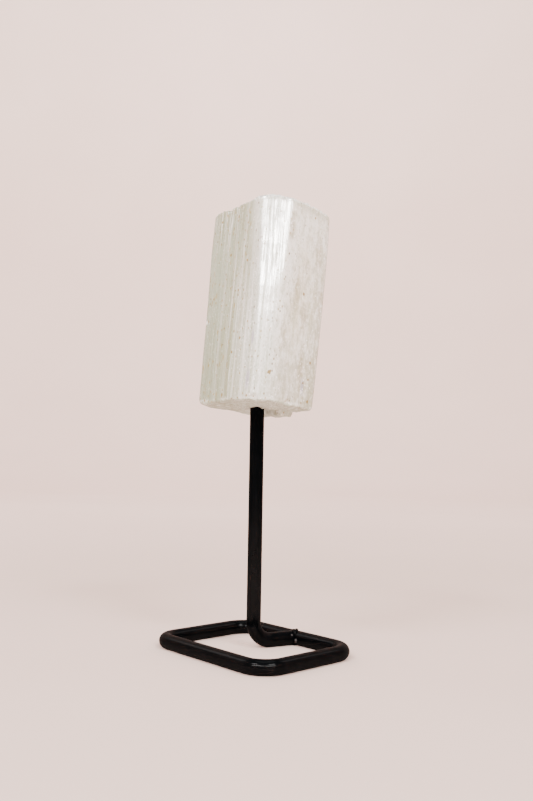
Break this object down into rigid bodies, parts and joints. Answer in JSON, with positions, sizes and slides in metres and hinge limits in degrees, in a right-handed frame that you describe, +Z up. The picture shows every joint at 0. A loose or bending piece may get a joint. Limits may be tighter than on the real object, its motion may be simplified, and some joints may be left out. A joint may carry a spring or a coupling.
{
  "type": "mineral specimen on stand",
  "caption": "Fibrous white selenite block, leaning slightly, held up on a bent black rod post welded to a rounded rectangular rod base.",
  "frame": {"origin": "middle of the footprint of the whole object, on the ground", "axes": "+Z up, +X along the long sides of the base, +Y towards the back side of the base that the foot is welded to"},
  "size_m": [0.0384, 0.031, 0.1039],
  "materials": {
    "selenite": "silky, translucent",
    "black_paint": "semi-gloss"
  },
  "bodies": {
    "root": {"selenite": "selenite", "base_frame": "black_paint", "post": "black_paint"}
  },
  "joints": []
}
